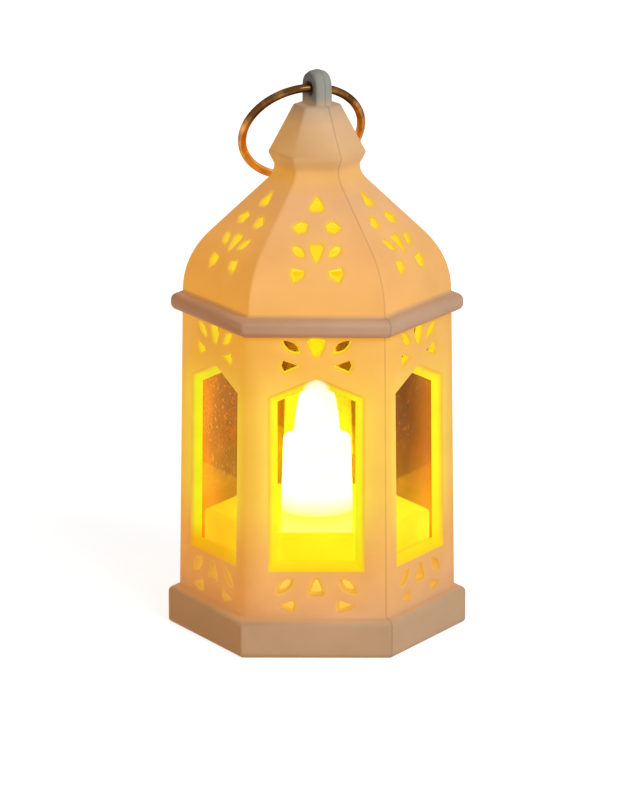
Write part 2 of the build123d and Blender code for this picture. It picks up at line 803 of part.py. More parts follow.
switch_top = cover_top + switch_height
with BuildPart() as switch_leads:
    with Locations((lead_pitch / 2, switch_row, switch_top), (-lead_pitch / 2, switch_row, switch_top)):
        Box(lead_size, lead_size, board_height - switch_top, align=UPRIGHT)
switch_leads.part.label = "switch_leads"
export_step(switch_leads.part, "parts/switch_leads.step")
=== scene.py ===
import math

import bmesh
import bpy
import mathutils
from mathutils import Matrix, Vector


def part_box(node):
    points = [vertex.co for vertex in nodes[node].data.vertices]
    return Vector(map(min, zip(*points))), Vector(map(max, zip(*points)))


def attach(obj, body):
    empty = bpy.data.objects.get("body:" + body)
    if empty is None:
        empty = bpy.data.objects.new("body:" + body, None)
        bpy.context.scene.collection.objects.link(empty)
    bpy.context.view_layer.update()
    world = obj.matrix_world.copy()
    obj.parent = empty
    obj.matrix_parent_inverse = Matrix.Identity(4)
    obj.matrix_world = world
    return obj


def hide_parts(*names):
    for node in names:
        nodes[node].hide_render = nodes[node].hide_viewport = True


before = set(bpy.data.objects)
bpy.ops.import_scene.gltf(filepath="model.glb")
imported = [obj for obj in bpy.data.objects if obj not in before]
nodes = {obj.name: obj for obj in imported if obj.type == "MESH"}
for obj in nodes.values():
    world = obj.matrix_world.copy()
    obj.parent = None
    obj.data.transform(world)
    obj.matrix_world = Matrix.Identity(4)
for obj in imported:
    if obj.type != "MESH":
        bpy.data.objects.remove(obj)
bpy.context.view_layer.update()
scene = bpy.context.scene
scene.view_settings.view_transform = "Standard"

# Walls. The lantern's lower moulding is one thin shell of milky ABS: six walls with pointed
# windows and pierced petals, standing on a wider skirt. It comes out of a two-part mould,
# whose parting line runs down two opposite corners. The candle's light through it is painted
# on as a glow.


def linear(hex_colour):
    """sRGB hex colour as linear RGBA."""
    parts = [int(hex_colour[i:i + 2], 16) / 255 for i in (1, 3, 5)]
    parts = [c / 12.92 if c <= 0.04045 else ((c + 0.055) / 1.055) ** 2.4 for c in parts]
    return (*parts, 1.0)


def add_node(tree, kind, feeds=None, **settings):
    """Adds a node with its settings; feeds are values or sockets for its inputs."""
    node = tree.nodes.new(kind)
    for name, value in settings.items():
        setattr(node, name, value)
    for socket, value in (feeds or {}).items():
        if isinstance(value, bpy.types.NodeSocket):
            tree.links.new(value, node.inputs[socket])
        else:
            node.inputs[socket].default_value = value
    return node


def new_material(name):
    """Empty node material and its tree."""
    material = bpy.data.materials.new(name)
    material.use_nodes = True
    material.node_tree.nodes.clear()
    return material, material.node_tree


def coat(piece, *materials):
    """Gives a piece these materials in place of the ones it has."""
    piece.data.materials.clear()
    for material in materials:
        piece.data.materials.append(material)


def pick(piece):
    """Selects a piece alone and makes it active."""
    bpy.ops.object.select_all(action="DESELECT")
    piece.select_set(True)
    bpy.context.view_layer.objects.active = piece


def copy_of(node_name, piece_name):
    """Copy of a CAD node's mesh with its loose triangles merged."""
    piece = bpy.data.objects.new(piece_name, nodes[node_name].data.copy())
    scene.collection.objects.link(piece)
    pick(piece)
    bpy.ops.object.mode_set(mode="EDIT")
    bpy.ops.mesh.select_all(action="SELECT")
    bpy.ops.mesh.remove_doubles(threshold=0.000002)
    bpy.ops.object.mode_set(mode="OBJECT")
    return piece


def finish_shading(piece):
    """Smooth shading up to 32 degrees, with flat faces kept flat."""
    pick(piece)
    bpy.ops.object.shade_smooth_by_angle(angle=math.radians(32))
    flat_normals = piece.modifiers.new("flat_normals", "WEIGHTED_NORMAL")
    flat_normals.keep_sharp = True
    bpy.ops.object.modifier_apply(modifier="flat_normals")


def face_turn(place):
    """Direction in radians that the nearest of the six faces looks in."""
    turn = math.degrees(math.atan2(place.y, place.x))
    return math.radians(round((turn + 90) / 60) * 60 - 90)


def height_ramp(tree, height, steps_up):
    """Colours by height up the lantern: height in metres, steps_up are (height in mm, hex)."""
    top = 125.0
    share = add_node(tree, "ShaderNodeMath", {0: height, 1: 1000 / top}, operation="MULTIPLY")
    ramp = add_node(tree, "ShaderNodeValToRGB", {0: share.outputs[0]})
    steps = ramp.color_ramp.elements
    while len(steps) < len(steps_up):
        steps.new(1.0)
    for step, (level, colour) in zip(steps, steps_up):
        step.position = level / top
        step.color = linear(colour)
    return ramp.outputs["Color"]


def face_place(tree, place):
    """Height, distance out from the axis and distance across from the middle of the nearest
    of the six faces, in metres, so that all six read alike."""
    axes = add_node(tree, "ShaderNodeSeparateXYZ", {0: place}).outputs
    angle = add_node(
        tree, "ShaderNodeMath", {0: axes["Y"], 1: axes["X"]}, operation="ARCTAN2").outputs[0]
    turned = add_node(
        tree, "ShaderNodeMath", {0: angle, 1: math.radians(120)}, operation="ADD").outputs[0]
    folded = add_node(
        tree, "ShaderNodeMath", {0: turned, 1: math.radians(60)},
        operation="FLOORED_MODULO").outputs[0]
    swing = add_node(
        tree, "ShaderNodeMath", {0: folded, 1: math.radians(30)}, operation="SUBTRACT").outputs[0]
    level = add_node(
        tree, "ShaderNodeVectorMath", {0: place, 1: (1, 1, 0)}, operation="MULTIPLY").outputs[0]
    reach = add_node(
        tree, "ShaderNodeVectorMath", {0: level}, operation="LENGTH").outputs["Value"]
    sine = add_node(tree, "ShaderNodeMath", {0: swing}, operation="SINE").outputs[0]
    cosine = add_node(tree, "ShaderNodeMath", {0: swing}, operation="COSINE").outputs[0]
    out = add_node(tree, "ShaderNodeMath", {0: cosine, 1: reach}, operation="MULTIPLY").outputs[0]
    across = add_node(tree, "ShaderNodeMath", {0: sine, 1: reach}, operation="MULTIPLY").outputs[0]
    across = add_node(tree, "ShaderNodeMath", {0: across}, operation="ABSOLUTE").outputs[0]
    return axes["Z"], out, across


def milky_abs(name, plastic_steps, glow_steps, edge_glow, rim):
    """Milky ABS skin: a warm grey plastic, with the candle's light coming through it painted on as
    a glow by height. edge_glow is (hex, from, to, low, high) in mm from the middle of a face and
    up it, and rim is (glow hex, plastic hex, low, high) for the painted soft rim of light round
    each opening."""
    material, tree = new_material(name)
    place = add_node(tree, "ShaderNodeTexCoord").outputs["Object"]
    height, out, across = face_place(tree, place)
    plastic = height_ramp(tree, height, plastic_steps)
    glow = height_ramp(tree, height, glow_steps)
    # Painted light: brighter and yellower beside the openings, fading away below and above them
    edge_hex, near, far, low, high = edge_glow
    fade_in, fade_out = 0.014, 0.012
    beside = add_node(tree, "ShaderNodeMapRange", {
        "Value": across, "From Min": near / 1000, "From Max": far / 1000,
        "To Min": 1.0, "To Max": 0.0}, interpolation_type="SMOOTHSTEP").outputs[0]
    rise = add_node(tree, "ShaderNodeMapRange", {
        "Value": height, "From Min": low / 1000, "From Max": low / 1000 + fade_in},
        interpolation_type="SMOOTHSTEP").outputs[0]
    fall = add_node(tree, "ShaderNodeMapRange", {
        "Value": height, "From Min": high / 1000 - fade_out, "From Max": high / 1000,
        "To Min": 1.0, "To Max": 0.0}, interpolation_type="SMOOTHSTEP").outputs[0]
    for limit in (rise, fall):
        beside = add_node(
            tree, "ShaderNodeMath", {0: beside, 1: limit}, operation="MULTIPLY").outputs[0]
    warm = add_node(tree, "ShaderNodeMix", {
        0: beside, 6: glow, 7: linear(edge_hex)}, data_type="RGBA", blend_type="ADD").outputs[2]
    # The rim, as painted light: where the normal of a rounded edge would turn away, but not along
    # the six corners
    rim_glow, rim_plastic, rim_low, rim_high = rim
    soft = add_node(tree, "ShaderNodeBevel", {"Radius": 0.0012}, samples=6).outputs[0]
    flat = add_node(tree, "ShaderNodeNewGeometry").outputs["Normal"]
    turn = add_node(
        tree, "ShaderNodeVectorMath", {0: soft, 1: flat}, operation="DOT_PRODUCT").outputs["Value"]
    near_edge = add_node(tree, "ShaderNodeMapRange", {
        "Value": turn, "From Min": 1.0, "From Max": 0.88}).outputs[0]
    sideways = add_node(tree, "ShaderNodeMath", {0: across, 1: out}, operation="DIVIDE").outputs[0]
    off_corner = add_node(tree, "ShaderNodeMapRange", {
        "Value": sideways, "From Min": 0.44, "From Max": 0.5,
        "To Min": 1.0, "To Max": 0.0}).outputs[0]
    above = add_node(
        tree, "ShaderNodeMath", {0: height, 1: rim_low / 1000}, operation="GREATER_THAN").outputs[0]
    below = add_node(
        tree, "ShaderNodeMath", {0: height, 1: rim_high / 1000}, operation="LESS_THAN").outputs[0]
    for limit in (off_corner, above, below):
        near_edge = add_node(
            tree, "ShaderNodeMath", {0: near_edge, 1: limit}, operation="MULTIPLY").outputs[0]
    warm = add_node(tree, "ShaderNodeMix", {
        0: near_edge, 6: warm, 7: linear(rim_glow)}, data_type="RGBA").outputs[2]
    plastic = add_node(tree, "ShaderNodeMix", {
        0: near_edge, 6: plastic, 7: linear(rim_plastic)}, data_type="RGBA").outputs[2]
    # Uneven wall thickness: soft clouds about 9 mm across
    clouds = add_node(tree, "ShaderNodeTexNoise", {
        "Vector": place, "Scale": 110.0, "Detail": 3.0}).outputs["Fac"]
    depth = add_node(tree, "ShaderNodeMapRange", {
        "Value": clouds, "From Min": 0.3, "From Max": 0.7,
        "To Min": 0.95, "To Max": 1.03}).outputs[0]
    # Parting line of the mould down the front right corner and the one opposite, 0.3 mm wide
    parting = add_node(
        tree, "ShaderNodeVectorMath", {0: place, 1: (0.866, 0.5, 0)},
        operation="DOT_PRODUCT").outputs["Value"]
    parting = add_node(tree, "ShaderNodeMath", {0: parting}, operation="ABSOLUTE").outputs[0]
    seam = add_node(tree, "ShaderNodeMapRange", {
        "Value": parting, "From Min": 0.00006, "From Max": 0.00026,
        "To Min": 0.78, "To Max": 1.0}).outputs[0]
    level = add_node(tree, "ShaderNodeMath", {0: depth, 1: seam}, operation="MULTIPLY").outputs[0]
    light = add_node(
        tree, "ShaderNodeVectorMath", {0: warm, "Scale": level}, operation="SCALE").outputs[0]
    colour = add_node(
        tree, "ShaderNodeVectorMath", {0: plastic, "Scale": level}, operation="SCALE").outputs[0]
    # Painted shade: the glow is dimmer towards the right
    rightward = add_node(tree, "ShaderNodeSeparateXYZ", {0: place}).outputs["X"]
    painted_dim_right = add_node(tree, "ShaderNodeMapRange", {
        "Value": rightward, "From Min": 0.006, "From Max": 0.026,
        "To Min": 1.0, "To Max": 0.86}).outputs[0]
    light = add_node(
        tree, "ShaderNodeVectorMath", {0: light, "Scale": painted_dim_right}, operation="SCALE").outputs[0]
    # Satin mould texture, drawn at 0.4 mm so that it shows, on corners that are a little soft
    grain = add_node(tree, "ShaderNodeTexNoise", {
        "Vector": place, "Scale": 2500.0, "Detail": 2.0}).outputs["Fac"]
    bump = add_node(tree, "ShaderNodeBump", {
        "Height": grain, "Strength": 0.06, "Distance": 0.0002, "Normal": soft}).outputs[0]
    rough = add_node(tree, "ShaderNodeMapRange", {
        "Value": grain, "To Min": 0.42, "To Max": 0.58}).outputs[0]
    skin = add_node(tree, "ShaderNodeBsdfPrincipled", {
        "Base Color": colour, "Roughness": rough, "IOR": 1.53, "Specular IOR Level": 0.1,
        "Normal": bump, "Emission Color": light, "Emission Strength": 1.0})
    add_node(tree, "ShaderNodeOutputMaterial", {"Surface": skin.outputs[0]})
    return material


def lit_edge_abs(name, plastic_hex, shallow_steps, deep_steps, hot=None):
    """The same ABS where its cut edges and inside face the candle, with the candle's light on them
    painted on as a glow: it goes from the skin's orange at the outside to bright yellow half a
    wall's thickness in, by the attribute sunk. hot is the place in metres of a painted highlight,
    the white light that the flame throws on the front's point."""
    material, tree = new_material(name)
    place = add_node(tree, "ShaderNodeTexCoord").outputs["Object"]
    axes = add_node(tree, "ShaderNodeSeparateXYZ", {0: place}).outputs
    shallow = height_ramp(tree, axes["Z"], shallow_steps)
    deep = height_ramp(tree, axes["Z"], deep_steps)
    sunk = add_node(tree, "ShaderNodeAttribute", attribute_name="sunk").outputs["Fac"]
    sunk = add_node(tree, "ShaderNodeMapRange", {
        "Value": sunk, "From Min": 0.0, "From Max": 0.5},
        interpolation_type="SMOOTHSTEP").outputs[0]
    glow = add_node(tree, "ShaderNodeMix", {
        0: sunk, 6: shallow, 7: deep}, data_type="RGBA").outputs[2]
    if hot:
        # Painted highlight: a white spot where the flame's light falls on the front window's point
        reach = add_node(
            tree, "ShaderNodeVectorMath", {0: place, 1: hot}, operation="DISTANCE").outputs["Value"]
        white = add_node(tree, "ShaderNodeMapRange", {
            "Value": reach, "From Min": 0.0017, "From Max": 0.0033,
            "To Min": 1.0, "To Max": 0.0}, interpolation_type="SMOOTHSTEP").outputs[0]
        glow = add_node(tree, "ShaderNodeMix", {
            0: white, 6: glow, 7: linear("#FFFBD8")}, data_type="RGBA").outputs[2]
        # Painted light: the glow on the sill to the left of the lamp is more orange, as the
        # pedestal behind it is
        orange = add_node(tree, "ShaderNodeMapRange", {
            "Value": axes["X"], "From Min": -0.012, "From Max": -0.02}).outputs[0]
        for start, end in ((0.024, 0.020), (0.0176, 0.0186)):
            by_height = add_node(tree, "ShaderNodeMapRange", {
                "Value": axes["Z"], "From Min": start, "From Max": end}).outputs[0]
            orange = add_node(
                tree, "ShaderNodeMath", {0: orange, 1: by_height}, operation="MULTIPLY").outputs[0]
        glow = add_node(tree, "ShaderNodeMix", {
            0: orange, 6: glow, 7: (0.98, 0.62, 0.6, 1.0)},
            data_type="RGBA", blend_type="MULTIPLY").outputs[2]
    clouds = add_node(tree, "ShaderNodeTexNoise", {
        "Vector": place, "Scale": 160.0, "Detail": 3.0}).outputs["Fac"]
    depth = add_node(tree, "ShaderNodeMapRange", {
        "Value": clouds, "From Min": 0.3, "From Max": 0.7,
        "To Min": 0.94, "To Max": 1.05}).outputs[0]
    light = add_node(
        tree, "ShaderNodeVectorMath", {0: glow, "Scale": depth}, operation="SCALE").outputs[0]
    rough = add_node(tree, "ShaderNodeMapRange", {
        "Value": clouds, "To Min": 0.45, "To Max": 0.6}).outputs[0]
    skin = add_node(tree, "ShaderNodeBsdfPrincipled", {
        "Base Color": linear(plastic_hex), "Roughness": rough, "IOR": 1.53,
        "Specular IOR Level": 0.1, "Emission Color": light, "Emission Strength": 1.0})
    add_node(tree, "ShaderNodeOutputMaterial", {"Surface": skin.outputs[0]})
    return material


# A shell's three materials, by slot
SKIN, CUT_EDGE, INSIDE = range(3)


def paint_shell(piece, materials, cut_low, cut_high):
    """Gives a shell's skin, cut edges and inside their own materials, by how far each face
    looks out: 1 is straight out and -1 straight in. The edges of the piercings lie between
    two heights in mm, and the splays of the windows between the sill and the point."""
    lug_foot, sill, window_point = 116.0, 18.0, 62.0
    inward, cut_limit, splay_low, splay_high = -0.15, 0.55, 0.7, 0.86
    coat(piece, *materials)
    for face in piece.data.polygons:
        turn = face_turn(face.center)
        out = face.normal.x * math.cos(turn) + face.normal.y * math.sin(turn)
        height = face.center.z * 1000
        pierced = cut_low < height < cut_high and out < cut_limit
        splayed = sill < height < window_point and splay_low < out < splay_high
        if height > lug_foot:
            face.material_index = SKIN
        elif out < inward:
            face.material_index = INSIDE
        elif pierced or splayed:
            face.material_index = CUT_EDGE


def narrow_piercings(piece, low, high, across_share, up_share):
    """Draws the inner outline of each petal in towards its middle, as the mould's draft does,
    for petals between two heights in mm. Openings taller than a petal are left alone."""
    tallest_petal = 12.0
    shell = bmesh.new()
    shell.from_mesh(piece.data)
    inside = [face for face in shell.faces if face.material_index == INSIDE]
    inner = {corner for face in inside for corner in face.verts}
    cut_faces = {face for face in shell.faces if face.material_index == CUT_EDGE}
    while cut_faces:
        opening = set()
        spread = [cut_faces.pop()]
        while spread:
            face = spread.pop()
            opening.update(face.verts)
            beside = {other for edge in face.edges for other in edge.link_faces} & cut_faces
            cut_faces -= beside
            spread.extend(beside)
        # A set has no fixed order, and the sum below has to come out the same each run
        opening = sorted(opening & inner, key=lambda corner: corner.index)
        heights = [corner.co.z * 1000 for corner in opening] or [0.0]
        bottom, top = min(heights), max(heights)
        if bottom < low or top > high or top - bottom > tallest_petal:
            continue
        middle = sum((corner.co for corner in opening), mathutils.Vector()) / len(opening)
        turn = face_turn(middle)
        across = mathutils.Vector((-math.sin(turn), math.cos(turn), 0))
        for corner in opening:
            offset = corner.co - middle
            sideways = across * offset.dot(across)
            corner.co = middle + sideways * across_share + (offset - sideways) * up_share
    shell.to_mesh(piece.data)
    shell.free()


def mark_sunk(piece):
    """Notes how deep each point lies in the wall: 0 on the skin, 1 on the inside. Points on a
    splay go by the plane of the walls, in metres; those of the roof's edges lie half way."""
    wall_foot, wall_lean, wall, wall_top = 0.026086, 0.0126, 0.0017, 0.07
    depths = {}
    for face in piece.data.polygons:
        for corner in face.vertices:
            if face.material_index == INSIDE:
                depths[corner] = 1.0
            elif face.material_index == SKIN:
                depths.setdefault(corner, 0.0)
    sunk = piece.data.attributes.new("sunk", "FLOAT", "POINT")
    for corner, place in enumerate(piece.data.vertices):
        turn = face_turn(place.co)
        out = place.co.x * math.cos(turn) + place.co.y * math.sin(turn)
        depth = (wall_foot - wall_lean * place.co.z - out) / wall
        sunk.data[corner].value = depths.get(corner, depth if place.co.z < wall_top else 0.5)


walls = copy_of("body_shell", "lantern_walls")
wall_skin = milky_abs(
    "milky_abs_walls",
    [(0.0, "#9B9484"), (7.8, "#9B9484"), (9.2, "#A1967F"), (22.0, "#9B906C"), (34.0, "#9B905E"),
     (52.0, "#9B905E"), (66.0, "#9B9062")],
    [(0.0, "#8A5000"), (7.8, "#905600"), (9.2, "#BC6C06"), (13.0, "#CC7A04"), (22.0, "#D68600"),
     (34.0, "#E2A400"), (52.0, "#E2A400"), (66.0, "#DC9000")],
    ("#245A00", 10.3, 14.0, 20.0, 64.0),
    ("#E0AC10", "#8A7430", 9.6, 69.4))
wall_edges = lit_edge_abs(
    "milky_abs_window_edges", "#8A6410",
    [(9.0, "#CC8C48"), (17.6, "#CC8C48"), (18.6, "#E4C414"), (21.0, "#E2B030"), (30.0, "#E2B238"),
     (56.0, "#E2B238"), (58.0, "#DE9E30"), (70.0, "#DCA648")],
    [(9.0, "#D29C3C"), (17.6, "#D29C3C"), (18.6, "#E8C800"), (22.0, "#E4D810"), (30.0, "#E6EA1C"),
     (55.0, "#E6EA1C"), (60.0, "#E2D020"), (70.0, "#E2D020")],
    hot=(0.0, -0.0243, 0.0582))
wall_inside = lit_edge_abs(
    "milky_abs_inside", "#9A6A14",
    [(0.0, "#5A3A14"), (70.0, "#D09404")],
    [(0.0, "#5A3A14"), (5.0, "#6A4414"), (17.0, "#B8780C"), (30.0, "#D2B80C"), (55.0, "#D2B80C"),
     (70.0, "#C8B804")])
paint_shell(walls, [wall_skin, wall_edges, wall_inside], 9.2, 69.9)
narrow_piercings(walls, 9.0, 18.0, 0.62, 0.62)
narrow_piercings(walls, 61.0, 70.0, 0.8, 0.8)
mark_sunk(walls)
finish_shading(walls)
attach(walls, "lantern")
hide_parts("body_shell")

# Roof. The upper moulding of the same milky ABS: eave bead, onion dome with pierced petals,
# neck, six-sided cap and the solid lug, pressed into the walls by a spigot at each corner.
roof = copy_of("roof_shell", "lantern_roof")
roof_skin = milky_abs(
    "milky_abs_roof",
    [(69.0, "#9E9686"), (74.2, "#9E9686"), (75.2, "#9B8E70"), (84.0, "#9B8E73"), (97.0, "#9B9286"),
     (101.5, "#9B8E70"), (103.6, "#9B9280"), (112.0, "#9B9288"), (115.4, "#9F9A8C"),
     (117.6, "#A3A197"), (123.0, "#A3A197")],
    [(69.0, "#8C4A08"), (74.2, "#8C4C08"), (75.2, "#D88C00"), (84.0, "#D48600"), (97.0, "#C67E08"),
     (101.5, "#CC8600"), (103.6, "#B47410"), (107.0, "#B67C20"), (112.0, "#B07824"),
     (115.4, "#88581C"), (117.6, "#1C140C"), (123.0, "#000000")],
    ("#302C00", 2.0, 9.0, 76.0, 100.0),
    ("#DCAA10", "#8A7430", 78.5, 100.0))
roof_edges = lit_edge_abs(
    "milky_abs_petal_edges", "#8A6410",
    [(70.0, "#DCA440"), (98.0, "#DCA440")],
    [(70.0, "#ECCE28"), (98.0, "#ECCE28")])
roof_inside = lit_edge_abs(
    "milky_abs_roof_inside", "#9A6A14",
    [(66.0, "#D09404"), (98.0, "#E4BC06")],
    [(66.0, "#D09404"), (75.0, "#ECC814"), (98.0, "#ECC81C"), (112.0, "#A06A08")])
paint_shell(roof, [roof_skin, roof_edges, roof_inside], 80.4, 98.4)
narrow_piercings(roof, 78.0, 100.0, 0.7, 0.3)
mark_sunk(roof)
finish_shading(roof)
# The dome's curve runs up each face from its foot, by the shoulder's radius, to a straight flank,
# and out of it by the neck's hollow; its facets get the true slope so that light runs smoothly
dome_foot, shoulder_radius = 74.9, 19.0
neck_top, neck_radius = 102.545, 4.5
flank_slope = math.sin(math.radians(43))
lowest_face, lowest_point, highest = dome_foot - 0.01, dome_foot - 0.1, neck_top + 0.055
slopes = [corner.vector.copy() for corner in roof.data.corner_normals]
for face in roof.data.polygons:
    turn = face_turn(face.center)
    if face.material_index != SKIN or not lowest_face < face.center.z * 1000 < highest:
        continue
    for corner in face.loop_indices:
        z = roof.data.vertices[roof.data.loops[corner].vertex_index].co.z * 1000
        if lowest_point < z < highest:
            shoulder, hollow = (z - dome_foot) / shoulder_radius, (neck_top - z) / neck_radius
            lean = math.asin(max(min(shoulder, hollow, flank_slope), 0.0))
            slopes[corner] = mathutils.Vector((
                math.cos(turn) * math.cos(lean), math.sin(turn) * math.cos(lean), math.sin(lean)))
roof.data.normals_split_custom_set(slopes)
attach(roof, "lantern")
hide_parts("roof_shell")

# Window panes. Six flat sheets of clear amber acetate, glued behind the windows and the petals
# above them; glossy, but handling has left them mottled and hazy, with fine scratches and dust.
# Their tint is darkened in places as painted shade, and their glints and glow are painted light.
acetate, tree = new_material("amber_acetate_sheet")
place = add_node(tree, "ShaderNodeTexCoord").outputs["Object"]
axes = add_node(tree, "ShaderNodeSeparateXYZ", {0: place}).outputs
aside = add_node(tree, "ShaderNodeMath", {0: axes["X"]}, operation="ABSOLUTE").outputs[0]
middle_sheets = add_node(
    tree, "ShaderNodeMath", {0: aside, 1: 0.012}, operation="LESS_THAN").outputs[0]
# Painted shade: the tint is darker towards the top of the right-hand sheets, and at the top of the
# front and back ones behind the leaves either side; behind the fan in the middle it is yellower,
# as painted light
painted_darker = add_node(
    tree, "ShaderNodeVectorMath", {0: place, 1: (0.8, 0.0, 0.6)},
    operation="DOT_PRODUCT").outputs["Value"]
painted_darker = add_node(tree, "ShaderNodeMapRange", {
    "Value": painted_darker, "From Min": 0.032, "From Max": 0.047},
    interpolation_type="SMOOTHSTEP").outputs[0]
top = add_node(tree, "ShaderNodeMapRange", {
    "Value": axes["Z"], "From Min": 0.0605, "From Max": 0.0615}).outputs[0]
leaves = add_node(tree, "ShaderNodeMapRange", {
    "Value": aside, "From Min": 0.0033, "From Max": 0.0043, "To Max": top}).outputs[0]
leaves = add_node(
    tree, "ShaderNodeMath", {0: leaves, 1: middle_sheets}, operation="MULTIPLY").outputs[0]
fan = add_node(tree, "ShaderNodeMapRange", {
    "Value": aside, "From Min": 0.0043, "From Max": 0.0033, "To Max": top}).outputs[0]
painted_darker = add_node(tree, "ShaderNodeMath", {0: painted_darker, 1: leaves}, operation="MAXIMUM").outputs[0]
tint_and_shade = add_node(tree, "ShaderNodeMix", {
    0: painted_darker, 6: (0.84, 0.59, 0.25, 1.0), 7: (0.61, 0.31, 0.14, 1.0)}, data_type="RGBA").outputs[2]
tint_and_shade = add_node(tree, "ShaderNodeMix", {
    0: fan, 6: tint_and_shade, 7: (0.74, 0.50, 0.14, 1.0)}, data_type="RGBA").outputs[2]
# Where handling shows: on the side sheets, between the pedestal and the petals
handled = add_node(tree, "ShaderNodeMapRange", {
    "Value": axes["Z"], "From Min": 0.056, "From Max": 0.063,
    "To Min": 1.0, "To Max": 0.1}).outputs[0]
to_the_side = add_node(tree, "ShaderNodeMapRange", {
    "Value": aside, "From Min": 0.008, "From Max": 0.013, "To Min": 0.15}).outputs[0]
over_pedestal = add_node(tree, "ShaderNodeMapRange", {
    "Value": axes["Z"], "From Min": 0.031, "From Max": 0.039, "To Min": 0.12}).outputs[0]
for limit in (to_the_side, over_pedestal):
    handled = add_node(
        tree, "ShaderNodeMath", {0: handled, 1: limit}, operation="MULTIPLY").outputs[0]
# Mottling in patches about 5 mm across, and a haze in clouds about 14 mm across
mottle = add_node(tree, "ShaderNodeTexNoise", {
    "Vector": place, "Scale": 200.0, "Detail": 6.0, "Roughness": 0.65}).outputs["Fac"]
mottle = add_node(tree, "ShaderNodeMapRange", {
    "Value": mottle, "From Min": 0.35, "From Max": 0.65, "To Min": 0.86, "To Max": 1.07}).outputs[0]
mottled = add_node(
    tree, "ShaderNodeVectorMath", {0: tint_and_shade, "Scale": mottle}, operation="SCALE").outputs[0]
tint_and_shade = add_node(tree, "ShaderNodeMix", {0: handled, 6: tint_and_shade, 7: mottled}, data_type="RGBA").outputs[2]
haze = add_node(tree, "ShaderNodeTexNoise", {
    "Vector": place, "Scale": 70.0, "Detail": 5.0, "Roughness": 0.6}).outputs["Fac"]
cloudy = add_node(tree, "ShaderNodeMapRange", {
    "Value": haze, "From Min": 0.35, "From Max": 0.7, "To Min": 0.0, "To Max": 0.2}).outputs[0]
cloudy = add_node(
    tree, "ShaderNodeMath", {0: cloudy, 1: handled}, operation="MULTIPLY").outputs[0]
# The haze is painted as lit: it glows orange by its own emission
film = add_node(tree, "ShaderNodeBsdfPrincipled", {
    "Base Color": linear("#8E5216"), "Roughness": 0.2, "IOR": 1.48,
    "Emission Color": linear("#7A3C06"), "Emission Strength": 1.0})
clear = add_node(tree, "ShaderNodeBsdfTransparent", {"Color": tint_and_shade})
pane = add_node(tree, "ShaderNodeMixShader", {
    0: cloudy, 1: clear.outputs[0], 2: film.outputs[0]})
# Upright scratches about 30 mm long and 0.15 mm wide, and specks of dust of 0.3 mm in patches;
# the candle's light on both is painted on as glints
slanted = add_node(tree, "ShaderNodeMapping", {
    "Vector": place, "Rotation": (0.06, 0.09, 0.0), "Scale": (900.0, 900.0, 22.0)}).outputs[0]
scratch = add_node(tree, "ShaderNodeTexNoise", {
    "Vector": slanted, "Scale": 1.0, "Detail": 1.0}).outputs["Fac"]
scratch = add_node(tree, "ShaderNodeMapRange", {
    "Value": scratch, "From Min": 0.66, "From Max": 0.78, "To Min": 0.0, "To Max": 0.45}).outputs[0]
dust = add_node(tree, "ShaderNodeTexNoise", {
    "Vector": place, "Scale": 1400.0, "Detail": 0.0}).outputs["Fac"]
dust = add_node(tree, "ShaderNodeMapRange", {
    "Value": dust, "From Min": 0.68, "From Max": 0.76}).outputs[0]
marks = add_node(tree, "ShaderNodeMath", {0: scratch, 1: dust}, operation="MAXIMUM").outputs[0]
patch = add_node(tree, "ShaderNodeMapRange", {
    "Value": haze, "From Min": 0.42, "From Max": 0.62}).outputs[0]
for limit in (patch, handled):
    marks = add_node(tree, "ShaderNodeMath", {0: marks, 1: limit}, operation="MULTIPLY").outputs[0]
# The outer ends of the side sheets shine with painted light, for the light that runs along them,
# and so, less brightly, do both ends of the front and back sheets
ends = add_node(tree, "ShaderNodeMapRange", {
    "Value": aside, "From Min": 0.0185, "From Max": 0.026},
    interpolation_type="SMOOTHSTEP").outputs[0]
middle_ends = add_node(tree, "ShaderNodeMapRange", {
    "Value": aside, "From Min": 0.0074, "From Max": 0.0084, "To Max": middle_sheets}).outputs[0]
ends = add_node(
    tree, "ShaderNodeMath", {0: middle_ends, 1: 0.46, 2: ends}, operation="MULTIPLY_ADD").outputs[0]
shine = add_node(tree, "ShaderNodeMath", {0: marks, 1: 0.36}, operation="MULTIPLY").outputs[0]
shine = add_node(
    tree, "ShaderNodeMath", {0: ends, 1: 0.26, 2: shine}, operation="MULTIPLY_ADD").outputs[0]
caught = add_node(tree, "ShaderNodeEmission", {"Color": linear("#F0A428"), "Strength": shine})
pane = add_node(tree, "ShaderNodeAddShader", {0: pane.outputs[0], 1: caught.outputs[0]})
# The inner side is polished and mirrors the candle, yellowest in the front and back sheets; the
# outer side is dulled by handling
tint = add_node(tree, "ShaderNodeMix", {
    0: middle_sheets, 6: linear("#F0F070"), 7: linear("#D3FF44")}, data_type="RGBA").outputs[2]
gloss = add_node(tree, "ShaderNodeBsdfGlossy", {"Color": tint, "Roughness": 0.04})
slant = add_node(tree, "ShaderNodeLayerWeight", {"Blend": 0.5}).outputs["Facing"]
slant = add_node(tree, "ShaderNodeMath", {0: slant, 1: 5.0}, operation="POWER").outputs[0]
radial = add_node(
    tree, "ShaderNodeVectorMath", {0: place, 1: (1, 1, 0)}, operation="MULTIPLY").outputs[0]
normal = add_node(tree, "ShaderNodeNewGeometry").outputs["Normal"]
side = add_node(
    tree, "ShaderNodeVectorMath", {0: normal, 1: radial}, operation="DOT_PRODUCT").outputs["Value"]
polish = add_node(tree, "ShaderNodeMapRange", {
    "Value": middle_sheets, "To Min": 0.16, "To Max": 0.2}).outputs[0]
polish = add_node(tree, "ShaderNodeMapRange", {
    "Value": side, "From Min": -0.001, "From Max": 0.001,
    "To Min": polish, "To Max": 0.02}).outputs[0]
